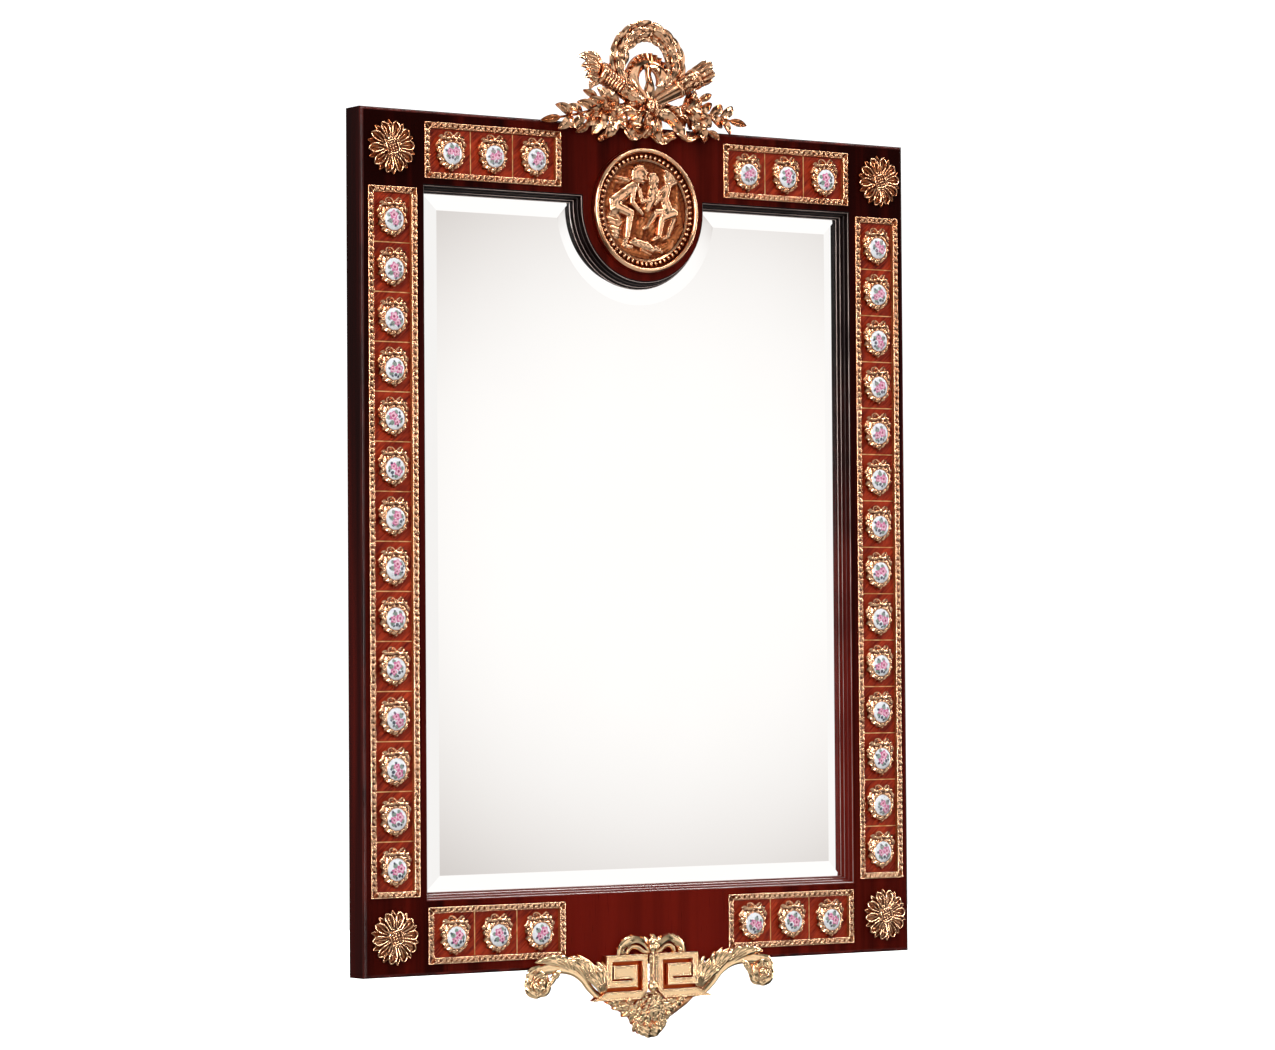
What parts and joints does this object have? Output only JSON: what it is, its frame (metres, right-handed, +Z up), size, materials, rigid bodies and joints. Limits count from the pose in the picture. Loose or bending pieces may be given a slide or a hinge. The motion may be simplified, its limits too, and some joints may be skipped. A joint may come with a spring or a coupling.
{
  "type": "wall mirror",
  "caption": "Tall framed wall mirror: bevelled glass in a mahogany frame with inlaid panels, porcelain plaques, gilt bronze medallion, crest and apron.",
  "frame": {"origin": "midway between the two hanger holes, on the plane of the frame's back, which lies on the wall", "axes": "+Y out of the frame's back, into the wall; +Z up along the stiles; +X to the right of someone who faces the glass"},
  "size_m": [1.1, 0.075, 1.689],
  "materials": {
    "mahogany": "french polished, high gloss",
    "bead_wood": "french polished, high gloss",
    "dowel_wood": "bare beech",
    "ebonised_wood": "stained nearly black, high gloss",
    "mirror": "silvered, bevelled and polished",
    "felt": "pressed wool felt",
    "plywood": "bare, sanded",
    "screw_brass": "turned and bright",
    "hanger_steel": "brushed",
    "red_veneer": "diagonal veneer, french polished",
    "gilt_bronze": "cast, chased and gilt, rose gold",
    "bright_gilt": "cast, chased and gilt, yellow gold",
    "line_brass": "polished strip",
    "porcelain": "white glaze painted with flowers",
    "stud_brass": "as turned"
  },
  "bodies": {
    "root": {"left_stile": "mahogany", "right_stile": "mahogany", "top_rail": "mahogany", "bottom_rail": "mahogany", "edge_bead": "bead_wood", "corner_dowels": "dowel_wood", "sight_moulding_left": "ebonised_wood", "sight_moulding_right": "ebonised_wood", "sight_moulding_bottom": "ebonised_wood", "sight_moulding_top_left": "ebonised_wood", "sight_moulding_top_right": "ebonised_wood", "sight_moulding_arch": "ebonised_wood", "mirror_glass": "mirror", "glass_packing": "felt", "backboard": "plywood", "back_screws": "screw_brass", "hanger_plates": "hanger_steel", "left_panel_tiles": "red_veneer", "left_panel_border": "gilt_bronze", "left_panel_plaque_mounts": "gilt_bronze", "left_panel_plaques": "porcelain", "right_panel_tiles": "red_veneer", "right_panel_border": "gilt_bronze", "right_panel_plaque_mounts": "gilt_bronze", "right_panel_plaques": "porcelain", "top_left_panel_tiles": "red_veneer", "top_left_panel_border": "gilt_bronze", "top_left_panel_plaque_mounts": "gilt_bronze", "top_left_panel_plaques": "porcelain", "top_right_panel_tiles": "red_veneer", "top_right_panel_border": "gilt_bronze", "top_right_panel_plaque_mounts": "gilt_bronze", "top_right_panel_plaques": "porcelain", "bottom_left_panel_tiles": "red_veneer", "bottom_left_panel_border": "gilt_bronze", "bottom_left_panel_plaque_mounts": "gilt_bronze", "bottom_left_panel_plaques": "porcelain", "bottom_right_panel_tiles": "red_veneer", "bottom_right_panel_border": "gilt_bronze", "bottom_right_panel_plaque_mounts": "gilt_bronze", "bottom_right_panel_plaques": "porcelain", "brass_stringing": "line_brass", "rosette_top_left": "gilt_bronze", "rosette_top_right": "gilt_bronze", "rosette_bottom_left": "gilt_bronze", "rosette_bottom_right": "gilt_bronze", "medallion_rim": "gilt_bronze", "medallion_beads": "gilt_bronze", "medallion_relief": "gilt_bronze", "ornament_studs": "stud_brass", "crest_wreath": "gilt_bronze", "crest_branches": "gilt_bronze", "crest_torch": "gilt_bronze", "crest_quiver": "gilt_bronze", "crest_ribbon": "gilt_bronze", "apron_key_left": "bright_gilt", "apron_key_right": "bright_gilt", "apron_scroll_left": "bright_gilt", "apron_scroll_right": "bright_gilt", "apron_husk": "bright_gilt"}
  },
  "joints": []
}
